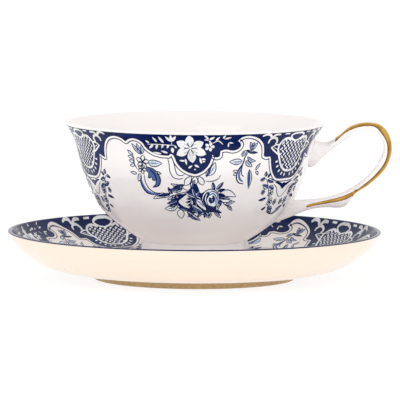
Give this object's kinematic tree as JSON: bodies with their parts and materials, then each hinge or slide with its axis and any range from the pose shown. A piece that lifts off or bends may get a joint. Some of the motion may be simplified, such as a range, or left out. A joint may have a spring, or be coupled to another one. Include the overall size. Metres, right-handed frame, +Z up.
{
  "type": "teacup",
  "caption": "Footed porcelain teacup with an ear-shaped handle, standing on its saucer, from which it lifts off.",
  "frame": {"origin": "on the common axis of cup and saucer, at the plane the saucer's foot ring stands on", "axes": "+Z up along the cup's axis, +X towards the handle"},
  "size_m": [0.1484, 0.1442, 0.061],
  "materials": {
    "porcelain": "gloss",
    "cobalt_print": "gloss",
    "gold_lustre": "gloss"
  },
  "bodies": {
    "saucer_body": {"saucer": "porcelain"},
    "cup_body": {"cup_bowl": "porcelain", "cup_foot": "porcelain", "cup_handle": "porcelain"}
  },
  "joints": [
    {"name": "cup_lift", "type": "slide", "parent": "saucer_body", "child": "cup_body", "axis": [0, 0, 1], "range_m": [0, 0.1]}
  ]
}
